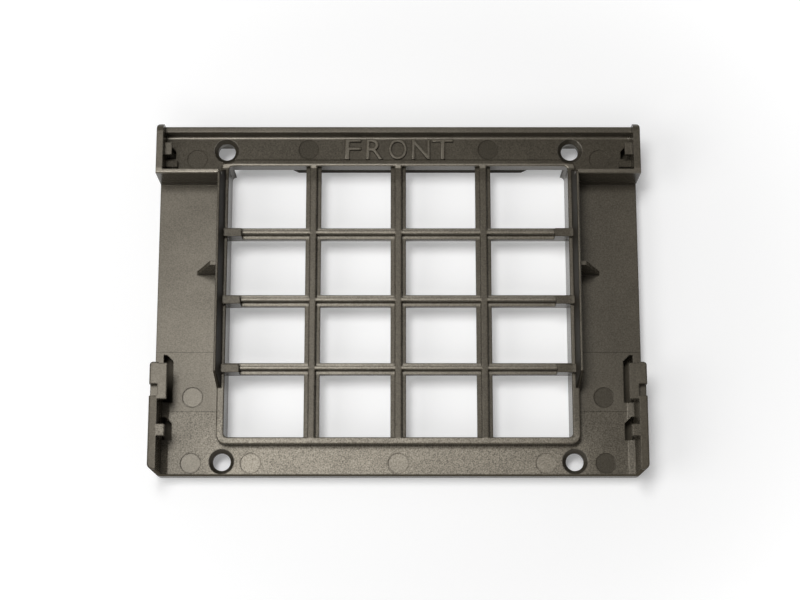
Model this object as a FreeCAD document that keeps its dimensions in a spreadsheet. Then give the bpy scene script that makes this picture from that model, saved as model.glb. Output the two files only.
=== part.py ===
import FreeCAD, Part
import math
import os
import re
import Sketcher

# Moulded tray that carries a 2.5 inch drive in a 3.5 inch bay, one piece of glass-filled plastic.
# Frame: X across, Y towards the edge marked front, Z up, origin under the middle of the outline.
NODE = "drive_tray_adapter"
TOLERANCE = 1e-3

# Driving dimensions in millimetres
SIZES = {
    # Outline, deck and skirt
    "tray_width": 101.6,
    "tray_depth": 73.8,
    "outline_radius": 1.2,
    "skirt_height": 5.2,
    "skirt_wall": 1.6,
    "deck_thickness": 1.6,
    # Raised front floor with its lip, ears and rims
    "front_bay_depth": 11.3,
    "front_floor_drop": 0.3,
    "front_floor_thickness": 2.1,
    "lip_wall": 1.4,
    "lip_height": 2.4,
    "lip_foot_radius": 0.4,
    "ear_wall": 1.4,
    "ear_height": 8.0,
    "ear_corner_radius": 2.0,
    "rim_wall": 0.9,
    # Opening and the ring round it
    "opening_width": 72.0,
    "rear_margin": 7.4,
    "front_margin": 8.0,
    "opening_corner_radius": 0.9,
    "side_bar": 1.6,
    "rear_bar": 1.4,
    "front_bar": 1.4,
    "ring_height": 2.75,
    "ring_corner_radius": 2.0,
    # Grid of inverted T ribs
    "window_columns": 4,
    "window_rows": 4,
    "column_flange": 3.25,
    "column_ridge": 1.5,
    "row_flange": 2.45,
    "row_ridge": 0.85,
    "ridge_height": 1.45,
    "flange_thickness": 1.4,
    # Drive pads on the ends of the rows
    "pad_length": 3.0,
    "pad_width": 1.75,
    "pad_height": 1.15,
    # Side rails and their gussets
    "rail_height": 10.0,
    "rail_crest": 0.55,
    "rail_foot": 0.9,
    "rail_setback": 17.7,
    "rail_tail": 2.2,
    "rail_nose": 2.4,
    "rail_lead": 0.4,
    "gusset_setback": 42.5,
    "gusset_wall": 0.9,
    "gusset_foot": 4.9,
    "gusset_crest": 1.3,
    "gusset_height": 8.3,
    # Rear clips with a long and a short hook
    "clip_length": 22.2,
    "clip_wall": 1.7,
    "clip_height": 8.0,
    "clip_corner_radius": 0.7,
    "long_hook_setback": 14.5,
    "long_hook_length": 7.4,
    "long_hook_reach": 1.85,
    "long_hook_thickness": 2.2,
    "short_hook_setback": 6.9,
    "short_hook_length": 2.4,
    "short_hook_reach": 1.6,
    "short_hook_thickness": 2.2,
    "notch_setback": 15.1,
    "notch_length": 2.5,
    "notch_depth": 1.8,
    "foot_width": 1.4,
    "foot_height": 0.5,
    # Blind core slots under the hooks, in solid roots
    "slot_depth": 3.6,
    "slot_bevel": 1.3,
    "long_slot_setback": 15.1,
    "long_slot_length": 10.1,
    "long_slot_width": 2.0,
    "short_slot_setback": 7.2,
    "short_slot_length": 4.8,
    "short_slot_width": 2.0,
    # Hooks and stops inside the ears
    "front_hook_setback": 3.7,
    "front_hook_length": 2.7,
    "front_hook_reach": 1.5,
    "front_hook_rise": 3.05,
    "front_hook_thickness": 1.3,
    "front_slot_length": 3.0,
    "front_slot_width": 2.0,
    "stop_setback": 7.1,
    "stop_length": 1.4,
    "stop_width": 2.5,
    "stop_height": 1.1,
    # Stiffening rib under the front floor
    "front_rib_left": 23.8,
    "front_rib_right": 28.8,
    "front_rib_depth": 3.4,
    "front_rib_slope": 2.3,
    "front_rib_wall": 0.8,
    "front_rib_setback": 0.5,
    # Countersunk screw holes
    "hole_spacing": 73.2,
    "rear_hole_setback": 2.7,
    "front_hole_setback": 4.6,
    "hole_diameter": 3.7,
    "countersink_diameter": 5.3,
    "countersink_angle": 90.0,
    # Ejector pin marks
    "mark_diameter": 4.2,
    "mark_depth": 0.12,
    "rear_mark_setback": 2.35,
    "rear_mark_inner": 30.6,
    "rear_mark_outer": 43.0,
    "side_mark_setback": 16.2,
    "side_mark_offset": 42.9,
    "front_mark_setback": 4.3,
    "front_mark_offset": 19.1,
    "corner_mark_setback": 6.5,
    "corner_mark_offset": 42.8,
    # Rounding of the upper edges
    "edge_radius": 0.3,
    "ridge_radius": 0.25,
}

# Places worked out from the driving dimensions
SIDE = "(tray_width / 2)"
REAR = "(-tray_depth / 2)"
FRONT = "(tray_depth / 2)"
DECK = "skirt_height"
RING_TOP = "(skirt_height + ring_height)"
FLOOR = f"({RING_TOP} - front_floor_drop)"
RIM = f"({FRONT} - front_bay_depth)"
RIM_TOP = "(skirt_height + ear_height)"
EAR = f"({SIDE} - ear_wall)"
OPENING_SIDE = "(opening_width / 2)"
OPENING_REAR = f"({REAR} + rear_margin)"
OPENING_FRONT = f"({FRONT} - front_margin)"
OPENING_DEPTH = "(tray_depth - rear_margin - front_margin)"
RING_SIDE = "(opening_width / 2 + side_bar)"
RING_REAR = f"({OPENING_REAR} - rear_bar)"
RING_FRONT = f"({OPENING_FRONT} + front_bar)"
FLANGE_TOP = f"({RING_TOP} - ridge_height)"
FLANGE_LOW = f"({FLANGE_TOP} - flange_thickness)"
COLUMN_PITCH = "(opening_width / window_columns)"
ROW_PITCH = f"({OPENING_DEPTH} / window_rows)"
CLIP = f"({SIDE} - clip_wall)"
CLIP_FRONT = f"({REAR} + clip_length)"
CLIP_TOP = "(skirt_height + clip_height)"
RAIL_REAR = f"({REAR} + rail_setback)"
RAIL_TOP = "(skirt_height + rail_height)"
LIP_TOP = f"({FLOOR} + lip_height)"
CREST_RADIUS = "rail_crest * 0.45"
RING_RADIUS = "min(ridge_radius; front_floor_drop * 0.8)"
WALL_RADIUS = "min(edge_radius; rim_wall * 0.4; lip_wall * 0.4)"
HOLE = "(hole_spacing / 2)"

doc = FreeCAD.newDocument("DriveTrayAdapter")
sheet = doc.addObject("Spreadsheet::Sheet", "Sizes")
for row, (alias, size) in enumerate(SIZES.items(), start=1):
    sheet.set(f"A{row}", alias)
    sheet.set(f"B{row}", str(size))
    sheet.setAlias(f"B{row}", alias)
doc.recompute()

body = doc.addObject("PartDesign::Body", "Tray")
body.Label = NODE
ORIGIN = {feature.Role: feature for feature in body.Origin.OriginFeatures}

# Each plane with the sign of its normal along the world axis
PLANES = {"XY": ("XY_Plane", 1), "XZ": ("XZ_Plane", -1), "YZ": ("YZ_Plane", 1)}


def bound(text):
    """The formula with every driving dimension read from the sheet."""
    return re.sub(r"[a-z]+_[a-z_]+", lambda word: f"Sizes.{word.group()}", text)


def number(text):
    """The present value of a formula."""
    return float(sheet.evalExpression(bound(text)))


def constrain(sketch, kind, *arguments):
    """Adds a constraint; a formula as the last argument drives its value."""
    if isinstance(arguments[-1], str):
        text = arguments[-1]
        index = sketch.addConstraint(Sketcher.Constraint(kind, *arguments[:-1], number(text)))
        sketch.setExpression(f"Constraints[{index}]", bound(text))
    else:
        sketch.addConstraint(Sketcher.Constraint(kind, *arguments))


def fix_point(sketch, geometry, position, x, y):
    """Holds a point of the sketch at the formulas x and y, measured from the origin."""
    constrain(sketch, "DistanceX", -1, 1, geometry, position, x)
    constrain(sketch, "DistanceY", -1, 1, geometry, position, y)


def outline(sketch, *corners):
    """Closed profile through (x, y) corners; a third formula rounds the corner with a tangent arc."""
    points = [FreeCAD.Vector(number(corner[0]), number(corner[1]), 0) for corner in corners]
    count = len(points)
    entries = []
    arcs = []
    for i, corner in enumerate(corners):
        back = (points[i - 1] - points[i]).normalize()
        ahead = (points[(i + 1) % count] - points[i]).normalize()
        radius = number(corner[2]) if len(corner) > 2 else 0.0
        half_angle = back.getAngle(ahead) / 2
        reach = radius / math.tan(half_angle)
        entries.append((points[i] + back * reach, points[i] + ahead * reach))
        centre = points[i] + (back + ahead).normalize() * (radius / math.sin(half_angle))
        turns_left = back.cross(ahead).z < 0
        arcs.append((centre, radius, turns_left))
    lines = []
    for i in range(count):
        segment = Part.LineSegment(entries[i][1], entries[(i + 1) % count][0])
        lines.append(sketch.addGeometry(segment))
    for i, corner in enumerate(corners):
        before = lines[i - 1]
        after = lines[i]
        if len(corner) == 2:
            constrain(sketch, "Coincident", before, 2, after, 1)
            fix_point(sketch, after, 1, corner[0], corner[1])
            continue
        centre, radius, turns_left = arcs[i]
        ends = entries[i] if turns_left else entries[i][::-1]
        angles = [math.atan2(end.y - centre.y, end.x - centre.x) for end in ends]
        circle = Part.Circle(centre, FreeCAD.Vector(0, 0, 1), radius)
        arc = sketch.addGeometry(Part.ArcOfCircle(circle, *angles))
        apex = sketch.addGeometry(Part.Point(points[i]), True)
        constrain(sketch, "Tangent", before, 2, arc, 1 if turns_left else 2)
        constrain(sketch, "Tangent", after, 1, arc, 2 if turns_left else 1)
        constrain(sketch, "Radius", arc, corner[2])
        constrain(sketch, "PointOnObject", apex, 1, before)
        constrain(sketch, "PointOnObject", apex, 1, after)
        fix_point(sketch, apex, 1, corner[0], corner[1])


def rectangle(sketch, x_low, x_high, y_low, y_high, *radius):
    """Rectangle between four formulas, with all corners rounded if a radius is given."""
    corners = [(x_low, y_low), (x_high, y_low), (x_high, y_high), (x_low, y_high)]
    outline(sketch, *[corner + radius for corner in corners])


def circle(sketch, x, y, diameter):
    """Circle with its centre and diameter given as formulas."""
    centre = FreeCAD.Vector(number(x), number(y), 0)
    ring = sketch.addGeometry(Part.Circle(centre, FreeCAD.Vector(0, 0, 1), number(diameter) / 2))
    constrain(sketch, "Diameter", ring, diameter)
    fix_point(sketch, ring, 3, x, y)


def new_sketch(name, plane, level):
    """Empty sketch on a plane of the body's origin, moved to a level along its axis."""
    role, sign = PLANES[plane]
    sketch = body.newObject("Sketcher::SketchObject", name + "_sketch")
    sketch.AttachmentSupport = [(ORIGIN[role], "")]
    sketch.MapMode = "FlatFace"
    sketch.setExpression("AttachmentOffset.Base.z", bound(f"{sign} * ({level})"))
    return sketch


def pad(sketch, length):
    """Grows the sketch along the positive world axis of its plane."""
    feature = body.newObject("PartDesign::Pad", sketch.Name.replace("_sketch", ""))
    feature.Profile = sketch
    feature.Reversed = sketch.AttachmentSupport[0][0] == ORIGIN["XZ_Plane"]
    feature.setExpression("Length", bound(length))
    doc.recompute()
    return feature


def pocket(sketch, length=None, upwards=False):
    """Cuts the sketch along its plane's axis, through everything if no length is given."""
    feature = body.newObject("PartDesign::Pocket", sketch.Name.replace("_sketch", ""))
    feature.Profile = sketch
    feature.Reversed = upwards
    if length is None:
        feature.Type = "ThroughAll"
    else:
        feature.setExpression("Length", bound(length))
    doc.recompute()
    return feature


def pattern(feature, axis, count, pitch):
    """Repeats a feature along a world axis, count times at the pitch."""
    row = body.newObject("PartDesign::LinearPattern", feature.Name + "_pattern")
    row.Originals = [feature]
    row.Direction = (ORIGIN[axis], [""])
    row.setExpression("Occurrences", bound(count))
    row.setExpression("Length", bound(f"(({count}) - 1) * {pitch}"))
    body.Tip = row
    doc.recompute()
    return row


def round_edges(name, level, radius, wanted):
    """Rounds the edges at a level whose middle (x, y) passes the test."""
    base = body.Tip
    height = number(level)
    names = []
    for index, edge in enumerate(base.Shape.Edges, start=1):
        box = edge.BoundBox
        flat = abs(box.ZMin - height) < TOLERANCE and abs(box.ZMax - height) < TOLERANCE
        if flat and wanted(abs(box.Center.x), box.Center.y):
            names.append(f"Edge{index}")
    if not names:
        raise RuntimeError(f"{name} finds no edge to round")
    fillet = body.newObject("PartDesign::Fillet", name)
    fillet.Base = (base, names)
    fillet.setExpression("Radius", bound(radius))
    doc.recompute()


# Tray block: the deck outline and the higher front floor, both down to the table
sketch = new_sketch("deck", "XY", "0")
rectangle(sketch, f"-{SIDE}", SIDE, REAR, FRONT, "outline_radius")
pad(sketch, DECK)


def across_front(sketch, rear):
    """Strip over the full width, from a rear line to the rounded front corners of the outline."""
    outline(
        sketch,
        (f"-{SIDE}", rear),
        (SIDE, rear),
        (SIDE, FRONT, "outline_radius"),
        (f"-{SIDE}", FRONT, "outline_radius"),
    )


sketch = new_sketch("front_floor", "XY", "0")
across_front(sketch, RIM)
pad(sketch, FLOOR)

# Hollow underside: the skirt stays all round, and the cavity is deeper under the front floor
SKIRT_SIDE = f"({SIDE} - skirt_wall)"
LIP = f"({FRONT} - lip_wall)"

sketch = new_sketch("underside", "XY", "0")
rectangle(sketch, f"-{SKIRT_SIDE}", SKIRT_SIDE, f"{REAR} + skirt_wall", LIP)
pocket(sketch, f"{DECK} - deck_thickness", upwards=True)

sketch = new_sketch("front_underside", "XY", "0")
rectangle(sketch, f"-{SKIRT_SIDE}", SKIRT_SIDE, f"{RIM} + deck_thickness", LIP)
pocket(sketch, f"{FLOOR} - front_floor_thickness", upwards=True)

# Walls round the opening under the deck, and the closed ring that stands on them
sketch = new_sketch("ring_walls", "XY", "0")
outline(
    sketch,
    (f"-{RING_SIDE}", RING_REAR, "ring_corner_radius"),
    (RING_SIDE, RING_REAR, "ring_corner_radius"),
    (RING_SIDE, OPENING_FRONT),
    (f"-{RING_SIDE}", OPENING_FRONT),
)
pad(sketch, DECK)

sketch = new_sketch("ring", "XY", DECK)
rectangle(sketch, f"-{RING_SIDE}", RING_SIDE, RING_REAR, RING_FRONT, "ring_corner_radius")
pad(sketch, "ring_height")

sketch = new_sketch("opening", "XY", "0")
rectangle(
    sketch, f"-{OPENING_SIDE}", OPENING_SIDE, OPENING_REAR, OPENING_FRONT, "opening_corner_radius"
)
pocket(sketch, upwards=True)

round_edges("ring_edges", RING_TOP, RING_RADIUS, lambda x, y: True)

# Lip along the front edge
sketch = new_sketch("lip", "XY", DECK)
across_front(sketch, LIP)
pad(sketch, f"{LIP_TOP} - {DECK}")

# Right-hand side features, mirrored together below
right_hand = []

# Ear and rim: one bent wall round the outer and rear sides of the front corner
sketch = new_sketch("corner_wall", "XY", DECK)
outline(
    sketch,
    (RING_SIDE, RIM),
    (SIDE, RIM),
    (SIDE, FRONT, "outline_radius"),
    (EAR, FRONT),
    (EAR, f"{RIM} + rim_wall"),
    (RING_SIDE, f"{RIM} + rim_wall"),
)
right_hand.append(pad(sketch, "ear_height"))

# The ear's upper front corner is rounded by cutting away what lies outside the arc
sketch = new_sketch("ear_corner", "YZ", SIDE)
outline(
    sketch,
    (f"{FRONT} - ear_corner_radius - ear_wall", RIM_TOP),
    (FRONT, RIM_TOP, "ear_corner_radius"),
    (FRONT, f"{RIM_TOP} - ear_corner_radius - ear_wall"),
    (f"{FRONT} + ear_wall", f"{RIM_TOP} - ear_corner_radius - ear_wall"),
    (f"{FRONT} + ear_wall", f"{RIM_TOP} + ear_wall"),
    (f"{FRONT} - ear_corner_radius - ear_wall", f"{RIM_TOP} + ear_wall"),
)
right_hand.append(pocket(sketch, "ear_wall"))

# Rail: a thin wall on the side bar, drafted to a rounded crest, with both ends cut to a slope
sketch = new_sketch("rail", "XZ", RAIL_REAR)
outline(
    sketch,
    (f"{RING_SIDE} - rail_foot", DECK),
    (RING_SIDE, DECK),
    (RING_SIDE, RAIL_TOP, CREST_RADIUS),
    (f"{RING_SIDE} - rail_crest", RAIL_TOP, CREST_RADIUS),
    (f"{RING_SIDE} - rail_foot", RING_TOP),
)
right_hand.append(pad(sketch, f"{RIM} + rail_nose - {RAIL_REAR}"))

sketch = new_sketch("rail_ends", "YZ", RING_SIDE)
outline(
    sketch,
    (f"{RIM} + rail_nose", RING_TOP),
    (f"{RIM} + rail_nose", f"{RAIL_TOP} + rail_crest"),
    (f"{RIM} - rail_lead", f"{RAIL_TOP} + rail_crest"),
    (f"{RIM} - rail_lead", RAIL_TOP),
)
outline(
    sketch,
    (RAIL_REAR, RING_TOP),
    (f"{RAIL_REAR} + rail_tail", RAIL_TOP),
    (f"{RAIL_REAR} + rail_tail", f"{RAIL_TOP} + rail_crest"),
    (RAIL_REAR, f"{RAIL_TOP} + rail_crest"),
)
right_hand.append(pocket(sketch, "side_bar"))

# Gusset between the deck and the outside of the rail
sketch = new_sketch("gusset", "XZ", f"{REAR} + gusset_setback")
outline(
    sketch,
    (RING_SIDE, DECK),
    (f"{RING_SIDE} + gusset_foot", DECK),
    (f"{RING_SIDE} + gusset_crest", f"{DECK} + gusset_height"),
    (RING_SIDE, f"{DECK} + gusset_height"),
)
right_hand.append(pad(sketch, "gusset_wall"))

# Clip wall with a sloped foot, a notch and two hooks
sketch = new_sketch("clip", "XY", DECK)
outline(
    sketch,
    (CLIP, REAR),
    (SIDE, REAR, "outline_radius"),
    (SIDE, CLIP_FRONT, "clip_corner_radius"),
    (CLIP, CLIP_FRONT),
)
right_hand.append(pad(sketch, "clip_height"))

sketch = new_sketch("clip_foot", "XZ", REAR)
outline(sketch, (f"{CLIP} - foot_width", DECK), (CLIP, DECK), (CLIP, f"{DECK} + foot_height"))
right_hand.append(pad(sketch, "clip_length"))

sketch = new_sketch("clip_notch", "XY", CLIP_TOP)
notch_rear = f"{REAR} + notch_setback"
rectangle(sketch, CLIP, f"{SIDE} + clip_wall", notch_rear, f"{notch_rear} + notch_length")
right_hand.append(pocket(sketch, "notch_depth"))


def hook(name, root, top, rear):
    """Hook on an upright wall: level above, its underside sloping down to the root."""
    sketch = new_sketch(name, "XZ", rear)
    outline(
        sketch,
        (root, f"{top} - {name}_thickness"),
        (root, top),
        (f"{root} - {name}_reach", top),
        (f"{root} - {name}_reach", f"{top} - {name}_thickness / 2"),
    )
    return pad(sketch, f"{name}_length")


def core_slot(name, root, top, rear, depth):
    """Slot that the hook's core leaves in the floor, its inner front corner bevelled."""
    sketch = new_sketch(name, "XY", top)
    front = f"{rear} + {name}_length"
    outline(
        sketch,
        (f"{root} - {name}_width", rear),
        (root, rear),
        (root, front),
        (f"{root} - {name}_width + slot_bevel", front),
        (f"{root} - {name}_width", f"{front} - slot_bevel"),
    )
    return pocket(sketch, depth)


def root(name, inner, rear, front, top):
    """Solid block from the table up into the floor, from an inner face out into the skirt."""
    sketch = new_sketch(name, "XY", "0")
    rectangle(sketch, f"{inner} - skirt_wall", f"{SIDE} - skirt_wall / 2", rear, front)
    return pad(sketch, top)


LONG_SLOT_FRONT = f"({REAR} + long_slot_setback + long_slot_length)"
right_hand.append(root(
    "clip_root",
    f"{CLIP} - long_slot_width",
    f"{REAR} + skirt_wall / 2",
    f"{LONG_SLOT_FRONT} + skirt_wall",
    f"{DECK} - deck_thickness / 2",
))
for size in ("long", "short"):
    hook_rear = f"{REAR} + {size}_hook_setback"
    right_hand.append(hook(f"{size}_hook", CLIP, CLIP_TOP, hook_rear))
    slot_rear = f"{REAR} + {size}_slot_setback"
    slot_top = f"{DECK} + foot_height"
    right_hand.append(core_slot(f"{size}_slot", CLIP, slot_top, slot_rear, "foot_height + slot_depth"))

# Hook, core slot and stop inside the ear
HOOK_REAR = f"({FRONT} - front_hook_setback - front_hook_length)"
right_hand.append(root(
    "ear_root",
    f"{EAR} - front_slot_width",
    f"{HOOK_REAR} - skirt_wall",
    f"{FRONT} - lip_wall / 2",
    f"{FLOOR} - front_floor_thickness / 2",
))
right_hand.append(hook("front_hook", EAR, f"({FLOOR} + front_hook_rise)", HOOK_REAR))
right_hand.append(core_slot("front_slot", EAR, FLOOR, HOOK_REAR, "slot_depth"))

sketch = new_sketch("front_stop", "XY", FLOOR)
stop_front = f"{FRONT} - stop_setback"
rectangle(sketch, f"{EAR} - stop_width", EAR, f"{stop_front} - stop_length", stop_front)
right_hand.append(pad(sketch, "stop_height"))

mirrored = body.newObject("PartDesign::Mirrored", "left_hand")
mirrored.Originals = right_hand
mirrored.MirrorPlane = (ORIGIN["YZ_Plane"], [""])
body.Tip = mirrored
doc.recompute()

# Stiffening rib with sloped ends, under the front bar of the ring
RIB_LOW = f"({DECK} - front_rib_depth)"
sketch = new_sketch("front_rib", "XZ", f"{OPENING_FRONT} + front_rib_setback")
outline(
    sketch,
    ("-front_rib_left", f"{DECK} + front_floor_drop"),
    ("-front_rib_left + front_rib_slope", RIB_LOW),
    ("front_rib_right - front_rib_slope", RIB_LOW),
    ("front_rib_right", f"{DECK} + front_floor_drop"),
)
pad(sketch, "front_rib_wall")

# Rounded upper edges of the rims, the outer sides of the clips and the lip, and the lip's hollow foot
side = number(SIDE) - TOLERANCE
rim = number(RIM)
lip = number(LIP)
round_edges("rim_edges", RIM_TOP, WALL_RADIUS, lambda x, y: abs(y - rim) < TOLERANCE)
round_edges("side_edges", CLIP_TOP, WALL_RADIUS, lambda x, y: x > side and y < rim)
round_edges("lip_edges", LIP_TOP, WALL_RADIUS, lambda x, y: x < TOLERANCE)
round_edges("lip_foot", FLOOR, "lip_foot_radius", lambda x, y: x < TOLERANCE and abs(y - lip) < TOLERANCE)



def countersunk_pair(name, level, y, above):
    """A pair of countersunk through holes; the countersink starts at a level some way above its face."""
    sketch = new_sketch(name, "XY", level)
    for x in (f"-{HOLE}", HOLE):
        circle(sketch, x, y, "hole_diameter")
    doc.recompute()
    hole = body.newObject("PartDesign::Hole", name)
    hole.Profile = sketch
    hole.DepthType = "ThroughAll"
    hole.HoleCutType = "Countersink"
    hole.HoleCutCustomValues = True
    hole.setExpression("Diameter", bound("hole_diameter"))
    widening = f"2 * {above} * tan(countersink_angle * 1 deg / 2)"
    hole.setExpression("HoleCutDiameter", bound(f"countersink_diameter + {widening}"))
    hole.setExpression("HoleCutCountersinkAngle", bound("countersink_angle"))
    doc.recompute()


countersunk_pair("rear_holes", DECK, f"{REAR} + rear_hole_setback", "0")
countersunk_pair("front_holes", RING_TOP, f"{FRONT} - front_hole_setback", "front_floor_drop")

# Shallow round marks left by the ejector pins, on the deck and on the front floor
sketch = new_sketch("deck_marks", "XY", DECK)
rear_marks = f"{REAR} + rear_mark_setback"
circle(sketch, "0", rear_marks, "mark_diameter")
for sign in ("-", ""):
    circle(sketch, f"{sign}rear_mark_inner", rear_marks, "mark_diameter")
    circle(sketch, f"{sign}rear_mark_outer", rear_marks, "mark_diameter")
    circle(sketch, f"{sign}side_mark_offset", f"{REAR} + side_mark_setback", "mark_diameter")
pocket(sketch, "mark_depth")

sketch = new_sketch("front_marks", "XY", FLOOR)
for sign in ("-", ""):
    circle(sketch, f"{sign}front_mark_offset", f"{FRONT} - front_mark_setback", "mark_diameter")
    circle(sketch, f"{sign}corner_mark_offset", f"{FRONT} - corner_mark_setback", "mark_diameter")
pocket(sketch, "mark_depth")


def rib_section(sketch, centre, flange, ridge):
    """Inverted T: a flat flange with a rounded ridge, its top level with the ring."""
    outline(
        sketch,
        (f"{centre} - {flange} / 2", FLANGE_LOW),
        (f"{centre} + {flange} / 2", FLANGE_LOW),
        (f"{centre} + {flange} / 2", FLANGE_TOP),
        (f"{centre} + {ridge} / 2", FLANGE_TOP),
        (f"{centre} + {ridge} / 2", RING_TOP, "ridge_radius"),
        (f"{centre} - {ridge} / 2", RING_TOP, "ridge_radius"),
        (f"{centre} - {ridge} / 2", FLANGE_TOP),
        (f"{centre} - {flange} / 2", FLANGE_TOP),
    )


# Grid: columns run from the rear bar to the front bar, rows from side bar to side bar
sketch = new_sketch("column", "XZ", f"{OPENING_REAR} - rear_bar / 2")
rib_section(sketch, f"{COLUMN_PITCH} - {OPENING_SIDE}", "column_flange", "column_ridge")
column = pad(sketch, f"{OPENING_DEPTH} + rear_bar / 2 + front_bar / 2")
pattern(column, "X_Axis", "window_columns - 1", COLUMN_PITCH)

FIRST_ROW = f"{OPENING_REAR} + {ROW_PITCH}"
sketch = new_sketch("row", "YZ", f"-{OPENING_SIDE} - side_bar / 2")
rib_section(sketch, FIRST_ROW, "row_flange", "row_ridge")
row_rib = pad(sketch, "opening_width + side_bar")
pattern(row_rib, "Y_Axis", "window_rows - 1", ROW_PITCH)

# Pads that the drive sits on, over both ends of every row
sketch = new_sketch("drive_pad", "XY", FLANGE_TOP)
pad_rear = f"{FIRST_ROW} - row_flange / 2"
pad_inner = f"({OPENING_SIDE} - pad_length)"
pad_outer = f"({OPENING_SIDE} + side_bar / 2)"
rectangle(sketch, pad_inner, pad_outer, pad_rear, f"{pad_rear} + pad_width")
rectangle(sketch, f"-{pad_outer}", f"-{pad_inner}", pad_rear, f"{pad_rear} + pad_width")
drive_pad = pad(sketch, "ridge_height + pad_height")
pattern(drive_pad, "Y_Axis", "window_rows - 1", ROW_PITCH)

# Every object is sound before anything is written
for item in doc.Objects:
    if "Invalid" in item.State or "Error" in item.State:
        raise RuntimeError(f"{item.Name} failed: {item.State}")
if body.Shape.isNull() or not body.Shape.isValid():
    raise RuntimeError(f"{NODE} has no valid shape")

os.makedirs("parts", exist_ok=True)
body.Shape.exportStep(f"parts/{NODE}.step")
print(NODE, len(body.Shape.Solids), "solid", body.Shape.BoundBox, round(body.Shape.Volume, 1), "mm3")
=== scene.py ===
import bmesh
import bpy
import math
from mathutils import Matrix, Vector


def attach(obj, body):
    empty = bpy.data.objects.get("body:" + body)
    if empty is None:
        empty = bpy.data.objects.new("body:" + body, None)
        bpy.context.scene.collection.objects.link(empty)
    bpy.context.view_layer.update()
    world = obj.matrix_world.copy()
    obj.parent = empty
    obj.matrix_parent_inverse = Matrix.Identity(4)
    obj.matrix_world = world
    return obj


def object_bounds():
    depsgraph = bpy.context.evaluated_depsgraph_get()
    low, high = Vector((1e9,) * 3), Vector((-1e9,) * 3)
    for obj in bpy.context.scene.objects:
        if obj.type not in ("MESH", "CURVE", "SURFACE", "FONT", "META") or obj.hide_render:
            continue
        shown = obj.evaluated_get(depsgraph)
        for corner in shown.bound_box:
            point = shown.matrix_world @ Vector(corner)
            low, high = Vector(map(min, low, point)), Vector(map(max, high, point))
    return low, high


# Dressed drive tray adapter, in metres and in the part's own frame
MM = 0.001
NODE = "drive_tray_adapter"

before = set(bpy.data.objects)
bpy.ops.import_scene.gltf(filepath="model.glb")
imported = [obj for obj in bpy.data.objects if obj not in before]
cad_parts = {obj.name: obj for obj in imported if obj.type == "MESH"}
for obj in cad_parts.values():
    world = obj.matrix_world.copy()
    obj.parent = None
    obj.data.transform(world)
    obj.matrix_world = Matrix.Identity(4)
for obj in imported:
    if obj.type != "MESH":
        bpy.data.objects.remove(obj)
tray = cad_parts[NODE]
cad_low, cad_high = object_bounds()

# Outline, deck and skirt
HALF_WIDTH = cad_high.x
HALF_DEPTH = cad_high.y
DECK = 5.2 * MM
SKIRT_WALL = 1.0 * MM

# Raised front floor, its lip and the rims of the front corners
FRONT_FLOOR = DECK + 2.45 * MM
FRONT_BAY = HALF_DEPTH - 11.3 * MM
LIP = HALF_DEPTH - 1.4 * MM
LIP_TOP = FRONT_FLOOR + 2.4 * MM
LIP_FOOT = 0.4 * MM
RIM_TOP = DECK + 8.0 * MM
RIM_WALL = 0.9 * MM

# Ring round the opening, and the inner faces of the rails on it
RING_SIDE = 37.6 * MM
RING_TOP = DECK + 2.75 * MM
RAIL_FOOT = RING_SIDE - 0.9 * MM
RAIL_CREST = RING_SIDE - 0.5 * MM
OPENING_SIDE = 36.0 * MM
OPENING_REAR = -HALF_DEPTH + 7.4 * MM
OPENING_FRONT = HALF_DEPTH - 8.0 * MM

# Ribs in the opening: cross ribs as rows, which reach to the pads on their ends, and columns
WINDOW_ROWS = 4
ROW_PITCH = (OPENING_FRONT - OPENING_REAR) / WINDOW_ROWS
ROWS = [OPENING_REAR + ROW_PITCH * row for row in range(1, WINDOW_ROWS)]
ROW_REACH = 1.4 * MM
PAD_INNER = 33.0 * MM
COLUMNS = (0.0, 18.0 * MM)
COLUMN_REACH = 0.9 * MM

# Rear clips, and the core slots at the sides
CLIP_FACE = 49.1 * MM
CLIP_NOTCH = -HALF_DEPTH + 17.6 * MM
CLIP_TOP = DECK + 8.0 * MM
SLOT_INNER = 47.1 * MM
SLOT_OUTER = 49.4 * MM

# Screw holes and ejector pin marks: distance from the middle line, and place along the depth
HOLE_SIDE = 36.6 * MM
HOLES = [(HOLE_SIDE, -HALF_DEPTH + 2.7 * MM), (HOLE_SIDE, HALF_DEPTH - 4.6 * MM)]
COUNTERSINK = 2.65 * MM
MARK_DEPTH = 0.12 * MM
MARK_RADIUS = 2.1 * MM
REAR_MARK_LINE = -HALF_DEPTH + 2.35 * MM
REAR_MARKS = [(0.0, REAR_MARK_LINE), (30.6 * MM, REAR_MARK_LINE)]
SIDE_MARKS = [(43.0 * MM, REAR_MARK_LINE), (42.9 * MM, -HALF_DEPTH + 16.2 * MM)]
FRONT_MARKS = [(19.1 * MM, HALF_DEPTH - 4.3 * MM)]

# Joints of the mould inserts across the side strips of the deck
JOINTS = (-11.1 * MM, -23.7 * MM)
JOINT_WIDTH = 0.12 * MM
JOINT_HEIGHT = 0.2 * MM
JOINT_DARKER = 0.35

# Raised word that marks the front edge: each letter with its left and right side
LETTERS = [
    ("F", -11.46 * MM, -7.91 * MM),
    ("R", -6.89 * MM, -3.21 * MM),
    ("O", -2.07 * MM, 1.84 * MM),
    ("N", 2.83 * MM, 6.79 * MM),
    ("T", 7.21 * MM, 11.71 * MM),
]
WORD_SIDE = LETTERS[-1][2]
LETTER_HEIGHT = 4.57 * MM
LETTER_REAR = HALF_DEPTH - 6.57 * MM
LETTER_RISE = 0.45 * MM
LETTER_SINK = 0.1 * MM
LETTER_EDGE = 0.18 * MM
LETTER_EDGE_STEPS = 2
LETTER_WEIGHT = -0.1 * MM
# Height of a capital letter as a share of the font's size
CAPITAL_SHARE = 0.7
# Distance within which corners of the letters are joined
WELD = 0.001 * MM

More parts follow.
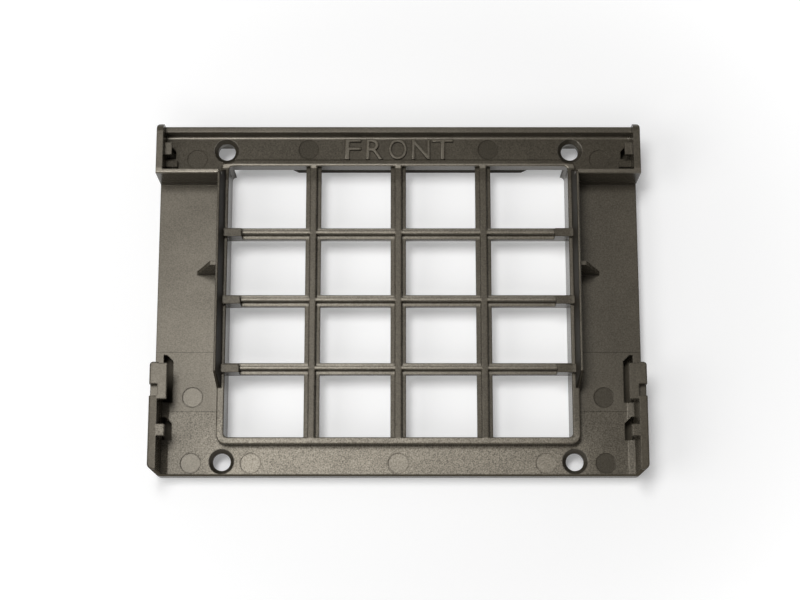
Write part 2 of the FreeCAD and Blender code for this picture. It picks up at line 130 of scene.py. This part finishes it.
# Soft edges of straight and of round zones
ZONE_EDGE = 0.3 * MM
ROUND_EDGE = 0.12 * MM
# Where a zone starts and where it is full: along the depth and across it, by height, and by slope
REAR_DEPTH_FADE = (-0.65 * HALF_DEPTH, -0.85 * HALF_DEPTH)
REAR_SIDE_FADE = (46.0 * MM, 28.0 * MM)
REAR_FACE_FADE = (0.4 * DECK, 0.55 * DECK)
WORD_TOP_FADE = (FRONT_FLOOR + 3 * LETTER_RISE, FRONT_FLOOR + 2 * LETTER_RISE)
SLOPE_FADE = (0.8, 0.6)

# Plastic: its colour and the tint of its gloss, both linear, and its refractive index
PLASTIC = (0.062, 0.053, 0.039)
GLOSS_TINT = (1.0, 0.92, 0.78)
REFRACTION = 1.5

# Finish of each zone: depth of its colour, gloss as a specular level, roughness and strength of the grain;
# several zones paint light or shade with their tone and gloss
SMOOTH = {"tone": 0.9, "gloss": 0.46, "roughness": 0.36, "grain": 1.0}
COARSE = {"tone": 0.9, "gloss": 0.46, "roughness": 0.36, "grain": 1.9}
# Rear strip: coarser grain, and a painted sheen in its lighter tone and stronger gloss
REAR_SHEEN = {"tone": 1.6, "gloss": 1.05, "roughness": 0.44, "grain": 2.4}
GRID = {"tone": 0.9, "gloss": 0.27, "roughness": 0.36, "grain": 1.3}
# Cross ribs: painted light, a lighter tone and stronger gloss as if lit from the rear
ROW_PAINTED_LIGHT = {"tone": 1.35, "gloss": 0.9, "roughness": 0.36, "grain": 1.3}
# Front floor: painted shade, a darker tone and weaker gloss
FRONT_SHADE = {"tone": 0.8, "gloss": 0.17, "roughness": 0.40, "grain": 1.3}
# Pin marks: painted sheen on the rear marks, lighter and glossier; painted shade on the side and front
# marks, darker, with the side marks smoother
REAR_MARK_SHEEN = {"tone": 1.7, "gloss": 1.2, "roughness": 0.44, "grain": 1.6}
SIDE_MARK_SHADE = {"tone": 0.7, "gloss": 0.36, "roughness": 0.28, "grain": 0.8}
FRONT_MARK_SHADE = {"tone": 0.66, "gloss": 0.13, "roughness": 0.40, "grain": 1.0}
# Tops of the letters: painted highlight, lighter than the floor round them
LETTER_HIGHLIGHT = {"tone": 1.05, "gloss": 0.42, "roughness": 0.36, "grain": 1.3}
UPRIGHT = {"tone": 0.9, "gloss": 0.4, "roughness": 0.25, "grain": 0.3}
# Painted highlights: lighter, glossier bands along the lip's foot, the rims' tops and the front bar's rear
# edge
EDGE_HIGHLIGHT = {"tone": 1.2, "gloss": 1.0, "roughness": 0.30, "grain": 0.8}
# Painted shade: dark, matt inner faces of the rails, faces under the front floor and sides of the letters
PAINTED_SHADE = {"tone": 0.45, "gloss": 0.05, "roughness": 0.60, "grain": 0.3}
# Core slots: painted shade, a darker, matt finish
SLOT_SHADE = {"tone": 0.8, "gloss": 0.12, "roughness": 0.50, "grain": 0.6}
# Countersinks: painted shade in a dark tone, glossy for their highlights
COUNTERSINK_SHADE = {"tone": 0.45, "gloss": 1.0, "roughness": 0.33, "grain": 0.5}
# Upper rear face: painted light, a lighter tone for light thrown up from the floor
REAR_FACE_LIGHT = {"tone": 1.8, "gloss": 0.0, "roughness": 0.50, "grain": 0.5}
# Inner faces of the clips: painted reflection, a little lighter and less glossy
CLIP_FACE_LIGHT = {"tone": 1.0, "gloss": 0.28, "roughness": 0.40, "grain": 1.0}

# Grain of the glass fill, the slower clouding of the tone, and the rounding that edges show
GRAIN_SCALE = 3600.0
GRAIN_DETAIL = 2.0
GRAIN_BUMP = 0.15
GRAIN_DEPTH = 0.03 * MM
CLOUD_SCALE = 120.0
CLOUD_DETAIL = 3.0
CLOUD_STRENGTH = 0.4
NOISE_MEAN = 0.5
EDGE_ROUNDING = 0.3 * MM
EDGE_SAMPLES = 4

# Floor out to the horizon, with a glow that rises to white over a range of distances
FLOOR_REACH = 20.0
FLOOR_COLOUR = (0.80, 0.80, 0.80)
FLOOR_GLOW = 0.26
GLOW_RANGE = (0.055, 0.22)
WHITE_LEVEL = 1.0

# Sky, which rises to white towards the horizon
SKY_LEVEL = 0.15
HORIZON_RANGE = (0.3, 0.1)

# Soft lamps: name, place, width, depth, and how bright a white face turned towards the lamp is
LAMPS = [
    ("overhead", (-0.10, 0.07, 0.60), 0.25, 0.14, 0.57),
    ("left", (-0.40, -0.12, 0.42), 0.30, 0.30, 0.22),
    ("rear", (-0.08, -0.38, 0.46), 0.30, 0.20, 0.11),
]

# Camera: focal length and sensor in millimetres, shift as a share of the sensor's width
FOCAL_LENGTH = 72.4
SENSOR_WIDTH = 36.0
LENS_SHIFT = 0.10
NEAR_LIMIT = 0.01
CAMERA_PLACE = (0.00036, -0.0820, 0.3350)
CAMERA_TILT = math.radians(11.15)


class Nodes:
    """Short way to build the node tree of a material or of the world."""

    def __init__(self, owner):
        owner.use_nodes = True
        self.tree = owner.node_tree
        self.tree.nodes.clear()

    def add(self, kind, settings=None, **inputs):
        """New node; an input is named, or numbered as i0, i1 and so on, and takes a value or a socket."""
        node = self.tree.nodes.new(kind)
        for name, value in (settings or {}).items():
            setattr(node, name, value)
        for name, value in inputs.items():
            numbered = name[0] == "i" and name[1:].isdigit()
            key = int(name[1:]) if numbered else name.replace("_", " ")
            self.put(node.inputs[key], value)
        return node

    def put(self, socket, value):
        """Links or sets an input socket."""
        if isinstance(value, bpy.types.NodeSocket):
            self.tree.links.new(value, socket)
        elif socket.type == "RGBA":
            socket.default_value = (*value, 1.0)
        else:
            socket.default_value = value

    def math(self, operation, a, b=0.0):
        """Result of a math node on two values."""
        return self.add("ShaderNodeMath", {"operation": operation}, i0=a, i1=b).outputs[0]

    def fold(self, operation, values):
        """All values joined by one operation."""
        result = values[0]
        for value in values[1:]:
            result = self.math(operation, result, value)
        return result

    def product(self, *values):
        """All values multiplied."""
        return self.fold("MULTIPLY", values)

    def largest(self, *values):
        """The largest of the values."""
        return self.fold("MAXIMUM", values)

    def all_but(self, share):
        """What a share leaves of 1."""
        return self.math("SUBTRACT", 1.0, share)

    def step(self, value, start, end):
        """Smooth step from 0 at the start to 1 at the end, which may lie on either side of the start."""
        node = self.add(
            "ShaderNodeMapRange",
            {"interpolation_type": "SMOOTHSTEP"},
            Value=value,
            From_Min=start,
            From_Max=end,
        )
        return node.outputs["Result"]

    def near(self, value, width, *targets):
        """1 where the value is at one of the targets, falling to 0 at the width from it."""
        shares = []
        for target in targets:
            distance = self.math("ABSOLUTE", self.math("SUBTRACT", value, target))
            shares.append(self.step(distance, width, width / 2))
        return self.largest(*shares)

    def discs(self, x, y, radius, centres):
        """1 inside circles about the centres, with a thin soft edge."""
        shares = []
        for centre_x, centre_y in centres:
            from_x = self.math("SUBTRACT", x, centre_x)
            from_y = self.math("SUBTRACT", y, centre_y)
            square = self.math("ADD", self.product(from_x, from_x), self.product(from_y, from_y))
            shares.append(self.step(self.math("SQRT", square), radius + ROUND_EDGE, radius))
        return self.largest(*shares)

    def blend(self, factor, a, b):
        """Value between a and b."""
        return self.add("ShaderNodeMix", i0=factor, i2=a, i3=b).outputs[0]

    def noise(self, place, scale, detail):
        """Noise value at a place."""
        return self.add("ShaderNodeTexNoise", Vector=place, Scale=scale, Detail=detail).outputs["Fac"]


class Spot:
    """A spot on the tray: its place, and the shares at it that several zones are made from."""

    def __init__(self, nodes, place):
        across, self.y, self.z = nodes.add("ShaderNodeSeparateXYZ", Vector=place).outputs
        # Both sides of the tray are alike, so only the distance from the middle line counts
        self.x = nodes.math("ABSOLUTE", across)
        self.in_front = nodes.step(self.y, FRONT_BAY, FRONT_BAY + ZONE_EDGE)
        self.in_skirt = self.share_in_skirt(nodes)
        self.on_word = self.share_on_word(nodes)
        self.upright = self.share_upright(nodes)

    def share_in_skirt(self, nodes):
        """1 inside the outer faces of the tray."""
        along = nodes.math("ABSOLUTE", self.y)
        return nodes.product(
            nodes.step(self.x, HALF_WIDTH - SKIRT_WALL / 2, HALF_WIDTH - SKIRT_WALL),
            nodes.step(along, HALF_DEPTH - SKIRT_WALL / 2, HALF_DEPTH - SKIRT_WALL),
        )

    def share_on_word(self, nodes):
        """1 on the raised word."""
        return nodes.product(
            nodes.step(self.x, WORD_SIDE + ZONE_EDGE, WORD_SIDE),
            nodes.step(self.y, LETTER_REAR - ZONE_EDGE, LETTER_REAR),
            nodes.step(self.y, LIP - LIP_FOOT, LIP - LIP_FOOT - ZONE_EDGE),
            nodes.step(self.z, FRONT_FLOOR, FRONT_FLOOR + LETTER_EDGE),
            nodes.step(self.z, *WORD_TOP_FADE),
        )

    def share_upright(self, nodes):
        """1 on upright faces, apart from the low walls of the pin marks."""
        normal = nodes.add("ShaderNodeNewGeometry").outputs["Normal"]
        slope = nodes.math("ABSOLUTE", nodes.add("ShaderNodeSeparateXYZ", Vector=normal).outputs["Z"])
        mark_levels = [level - MARK_DEPTH / 2 for level in (DECK, FRONT_FLOOR)]
        on_mark = nodes.product(self.in_skirt, nodes.near(self.z, MARK_DEPTH, *mark_levels))
        return nodes.product(nodes.step(slope, *SLOPE_FADE), nodes.all_but(on_mark))


def flat_zones(nodes, spot):
    """Shares and finishes of the deck, the ribs, the front floor, the pin marks and the word, with painted
    sheen on the rear strip, painted light on the rows, painted shade on the front floor, painted sheen and
    shade on the pin marks and a painted highlight on the tops of the letters.
    """
    x, y, z = spot.x, spot.y, spot.z
    behind_joint = nodes.step(y, JOINTS[1] + ZONE_EDGE, JOINTS[1])
    rear_sheen_strip = nodes.product(nodes.step(y, *REAR_DEPTH_FADE), nodes.step(x, *REAR_SIDE_FADE))
    in_opening = nodes.product(
        nodes.step(x, OPENING_SIDE + ZONE_EDGE, OPENING_SIDE),
        nodes.step(y, OPENING_REAR - ZONE_EDGE, OPENING_REAR),
        nodes.step(y, OPENING_FRONT + ZONE_EDGE, OPENING_FRONT),
    )
    painted_light_rows = nodes.product(
        nodes.near(y, ROW_REACH, *ROWS),
        nodes.all_but(nodes.near(x, COLUMN_REACH, *COLUMNS)),
        nodes.step(x, PAD_INNER, PAD_INNER - ZONE_EDGE),
    )
    below_lip_top = nodes.step(z, LIP_TOP - ZONE_EDGE, LIP_TOP - 2 * ZONE_EDGE)
    return [
        (behind_joint, COARSE),
        (rear_sheen_strip, REAR_SHEEN),
        (in_opening, GRID),
        (painted_light_rows, ROW_PAINTED_LIGHT),
        # Front floor below the lip's top: painted shade
        (nodes.product(spot.in_front, below_lip_top), FRONT_SHADE),
        (nodes.discs(x, y, MARK_RADIUS, REAR_MARKS), REAR_MARK_SHEEN),
        (nodes.discs(x, y, MARK_RADIUS, SIDE_MARKS), SIDE_MARK_SHADE),
        (nodes.discs(x, y, MARK_RADIUS, FRONT_MARKS), FRONT_MARK_SHADE),
        (spot.on_word, LETTER_HIGHLIGHT),
    ]


def upright_and_painted_shade_zones(nodes, spot):
    """Shares and finishes of the upright faces, and painted shade on the rails' inner faces, under the
    front floor, in the core slots and on the sides of the letters.
    """
    x, y, z = spot.x, spot.y, spot.z
    rail_inner_shade = nodes.product(
        spot.upright,
        nodes.step(x, RAIL_FOOT - ZONE_EDGE, RAIL_FOOT - ZONE_EDGE / 2),
        nodes.step(x, RAIL_CREST + ZONE_EDGE, RAIL_CREST),
        nodes.step(y, LIP - LIP_FOOT, LIP - LIP_FOOT - ZONE_EDGE),
        nodes.step(z, RING_TOP, RING_TOP + ZONE_EDGE),
    )
    under_front_shade = nodes.product(
        nodes.step(x, RING_SIDE + ZONE_EDGE, RING_SIDE),
        nodes.step(y, OPENING_FRONT + ZONE_EDGE / 2, OPENING_FRONT + ZONE_EDGE),
        nodes.step(y, LIP + ZONE_EDGE, LIP),
        nodes.step(z, DECK + ZONE_EDGE, DECK),
    )
    below_deck = nodes.step(z, DECK, DECK - ZONE_EDGE)
    below_front_floor = nodes.product(spot.in_front, nodes.step(z, FRONT_FLOOR, FRONT_FLOOR - ZONE_EDGE))
    slot_shade = nodes.product(
        nodes.step(x, SLOT_INNER - ZONE_EDGE, SLOT_INNER),
        nodes.step(x, SLOT_OUTER, SLOT_OUTER - ZONE_EDGE),
        spot.in_skirt,
        nodes.largest(below_deck, below_front_floor),
    )
    return [
        (spot.upright, UPRIGHT),
        (rail_inner_shade, PAINTED_SHADE),
        (under_front_shade, PAINTED_SHADE),
        (slot_shade, SLOT_SHADE),
        # Sides of the letters: painted shade
        (nodes.product(spot.on_word, spot.upright), PAINTED_SHADE),
    ]


def painted_light_zones(nodes, spot):
    """Shares and finishes of painted light and shade: shade in the countersinks, light on the upper rear
    face, a reflection on the clips' inner faces, and highlights along the lip's foot, the rims' tops and
    the front bar's edge.
    """
    x, y, z = spot.x, spot.y, spot.z
    rear_face_light = nodes.product(
        spot.upright,
        nodes.step(y, -HALF_DEPTH + ZONE_EDGE, -HALF_DEPTH + ZONE_EDGE / 2),
        nodes.step(z, *REAR_FACE_FADE),
    )
    clip_face_light = nodes.product(
        nodes.step(x, CLIP_FACE, CLIP_FACE + ZONE_EDGE),
        nodes.step(y, CLIP_NOTCH + ZONE_EDGE, CLIP_NOTCH),
        nodes.step(z, CLIP_TOP - 2 * ZONE_EDGE, CLIP_TOP - ZONE_EDGE),
    )
    lip_foot_highlight = nodes.product(
        spot.in_skirt,
        nodes.step(y, LIP - LIP_FOOT - ZONE_EDGE, LIP - LIP_FOOT),
        nodes.step(y, LIP + ZONE_EDGE, LIP),
        nodes.step(z, FRONT_FLOOR + LIP_FOOT, FRONT_FLOOR + LIP_FOOT / 2),
    )
    rim_highlight = nodes.product(
        nodes.near(y, RIM_WALL, FRONT_BAY + RIM_WALL / 2),
        nodes.step(z, RIM_TOP - 2 * ZONE_EDGE, RIM_TOP - ZONE_EDGE),
    )
    front_bar_highlight = nodes.product(
        nodes.step(x, RING_SIDE, RING_SIDE - ZONE_EDGE),
        nodes.near(y, 2 * ZONE_EDGE, OPENING_FRONT),
        nodes.step(z, RING_TOP - 2 * ZONE_EDGE, RING_TOP - ZONE_EDGE),
    )
    return [
        (nodes.discs(x, y, COUNTERSINK, HOLES), COUNTERSINK_SHADE),
        (rear_face_light, REAR_FACE_LIGHT),
        (clip_face_light, CLIP_FACE_LIGHT),
        (nodes.largest(lip_foot_highlight, rim_highlight, front_bar_highlight), EDGE_HIGHLIGHT),
    ]


def joint_lines(nodes, spot):
    """How much darker the joints of the mould inserts are, on the side strips of the deck."""
    return nodes.product(
        nodes.near(spot.y, JOINT_WIDTH, *JOINTS),
        nodes.near(spot.z, JOINT_HEIGHT, DECK),
        nodes.math("GREATER_THAN", spot.x, RING_SIDE),
        JOINT_DARKER,
    )


def plastic():
    """Glass-filled plastic: grained flat faces, smoother upright ones, fine mould lines, and zones of
    painted light and shade.
    """
    material = bpy.data.materials.new("glass_filled_plastic")
    nodes = Nodes(material)
    place = nodes.add("ShaderNodeTexCoord").outputs["Object"]
    spot = Spot(nodes, place)
    zones = flat_zones(nodes, spot) + upright_and_painted_shade_zones(nodes, spot) + painted_light_zones(nodes, spot)

    def zoned(quality):
        """A quality of the finish over all zones; a later zone lies over an earlier one."""
        value = SMOOTH[quality]
        for share, zone in zones:
            value = nodes.blend(share, value, zone[quality])
        return value

    grain = nodes.noise(place, GRAIN_SCALE, GRAIN_DETAIL)
    cloud = nodes.noise(place, CLOUD_SCALE, CLOUD_DETAIL)
    strength = zoned("grain")
    grain_tone = nodes.product(nodes.math("SUBTRACT", grain, NOISE_MEAN), strength)
    cloud_tone = nodes.product(nodes.math("SUBTRACT", cloud, NOISE_MEAN), CLOUD_STRENGTH)
    mottle = nodes.math("ADD", nodes.math("ADD", grain_tone, cloud_tone), 1.0)
    tone = nodes.product(mottle, nodes.all_but(joint_lines(nodes, spot)))

    depth = nodes.product(tone, zoned("tone"))
    colour = nodes.add("ShaderNodeVectorMath", {"operation": "SCALE"}, i0=PLASTIC, Scale=depth)
    edge = nodes.add("ShaderNodeBevel", {"samples": EDGE_SAMPLES}, Radius=EDGE_ROUNDING)
    bump = nodes.add(
        "ShaderNodeBump",
        Strength=nodes.product(strength, GRAIN_BUMP),
        Distance=GRAIN_DEPTH,
        Height=grain,
        Normal=edge.outputs["Normal"],
    )
    shader = nodes.add(
        "ShaderNodeBsdfPrincipled",
        Base_Color=colour.outputs[0],
        Roughness=zoned("roughness"),
        Specular_IOR_Level=nodes.product(tone, zoned("gloss")),
        Specular_Tint=GLOSS_TINT,
        Normal=bump.outputs["Normal"],
        IOR=REFRACTION,
    )
    nodes.add("ShaderNodeOutputMaterial", Surface=shader.outputs["BSDF"])
    return material


def add_object(name, data):
    """New object in the scene."""
    thing = bpy.data.objects.new(name, data)
    bpy.context.scene.collection.objects.link(thing)
    return thing


def letter_mesh(letter):
    """Flat block letter of about the right size and weight, with rounded edges."""
    curve = bpy.data.curves.new("letter", "FONT")
    curve.body = letter
    curve.size = LETTER_HEIGHT / CAPITAL_SHARE
    curve.offset = LETTER_WEIGHT
    curve.extrude = (LETTER_RISE + LETTER_SINK) / 2 - LETTER_EDGE
    curve.bevel_depth = LETTER_EDGE
    curve.bevel_resolution = LETTER_EDGE_STEPS
    pattern = bpy.data.objects.new("letter", curve)
    mesh = bpy.data.meshes.new_from_object(pattern)
    bpy.data.objects.remove(pattern)
    return mesh


def front_word(material):
    """Raised lettering on the front floor, each letter fitted to its measured sides and height."""
    letters = bmesh.new()
    for letter, left, right in LETTERS:
        mesh = letter_mesh(letter)
        low = [min(vertex.co[axis] for vertex in mesh.vertices) for axis in range(3)]
        high = [max(vertex.co[axis] for vertex in mesh.vertices) for axis in range(3)]
        widen = (right - left) / (high[0] - low[0])
        heighten = LETTER_HEIGHT / (high[1] - low[1])
        stretch = Matrix.Diagonal((widen, heighten, 1.0, 1.0))
        place = Matrix.Translation((left, LETTER_REAR, FRONT_FLOOR - LETTER_SINK))
        mesh.transform(place @ stretch @ Matrix.Translation((-low[0], -low[1], -low[2])))
        letters.from_mesh(mesh)
    bmesh.ops.remove_doubles(letters, verts=letters.verts, dist=WELD)
    mesh = bpy.data.meshes.new("front_word")
    letters.to_mesh(mesh)
    letters.free()
    mesh.materials.append(material)
    word = add_object("front_word", mesh)
    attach(word, "root")


def seen_rays(nodes):
    """1 for the rays by which the background is seen, straight, mirrored or through glass."""
    ray = nodes.add("ShaderNodeLightPath").outputs
    return nodes.largest(ray["Is Camera Ray"], ray["Is Glossy Ray"], ray["Is Transmission Ray"])


def white_floor():
    """Pale floor that shows white to the camera and keeps the part's shadow."""
    mesh = bpy.data.meshes.new("floor")
    corners = [(x * FLOOR_REACH, y * FLOOR_REACH, 0) for x, y in ((-1, -1), (1, -1), (1, 1), (-1, 1))]
    mesh.from_pydata(corners, [], [(0, 1, 2, 3)])
    material = bpy.data.materials.new("pale_floor")
    nodes = Nodes(material)
    place = nodes.add("ShaderNodeTexCoord").outputs["Object"]
    distance = nodes.add("ShaderNodeVectorMath", {"operation": "LENGTH"}, i0=place).outputs["Value"]
    level = nodes.blend(nodes.step(distance, *GLOW_RANGE), FLOOR_GLOW, WHITE_LEVEL)
    matt = nodes.add("ShaderNodeBsdfDiffuse", Color=FLOOR_COLOUR)
    glow = nodes.add("ShaderNodeEmission", Strength=nodes.product(seen_rays(nodes), level))
    both = nodes.add("ShaderNodeAddShader", i0=matt.outputs[0], i1=glow.outputs[0])
    nodes.add("ShaderNodeOutputMaterial", Surface=both.outputs[0])
    mesh.materials.append(material)
    floor = add_object("floor", mesh)


def softbox(name, place, width, depth, level):
    """Rectangular lamp aimed at the part."""
    lamp = bpy.data.lights.new(name, "AREA")
    lamp.shape = "RECTANGLE"
    lamp.size = width
    lamp.size_y = depth
    stand = add_object(name, lamp)
    stand.location = place
    stand.rotation_euler = (-stand.location).to_track_quat("-Z", "Y").to_euler()
    lamp.energy = level * math.pi**2 * stand.location.length_squared


def studio_light():
    """Soft lamps, and a sky that is white at the horizon."""
    world = bpy.data.worlds.new("studio")
    bpy.context.scene.world = world
    nodes = Nodes(world)
    direction = nodes.add("ShaderNodeTexCoord").outputs["Generated"]
    height = nodes.add("ShaderNodeSeparateXYZ", Vector=direction).outputs["Z"]
    horizon = nodes.product(nodes.step(height, *HORIZON_RANGE), seen_rays(nodes))
    sky = nodes.add("ShaderNodeBackground", Strength=nodes.blend(horizon, SKY_LEVEL, WHITE_LEVEL))
    nodes.add("ShaderNodeOutputWorld", Surface=sky.outputs[0])
    for lamp in LAMPS:
        softbox(*lamp)


def camera():
    """View from above and behind the rear edge, as in the photograph."""
    lens = bpy.data.cameras.new("camera")
    lens.sensor_width = SENSOR_WIDTH
    lens.lens = FOCAL_LENGTH
    lens.shift_y = LENS_SHIFT
    lens.clip_start = NEAR_LIMIT
    view = add_object("camera", lens)
    view.location = CAMERA_PLACE
    view.rotation_euler = (CAMERA_TILT, 0, 0)
    bpy.context.scene.camera = view


finish = plastic()
for slot in tray.material_slots:
    slot.material = finish
front_word(finish)
white_floor()
studio_light()
camera()
bpy.context.scene.view_settings.view_transform = "Standard"
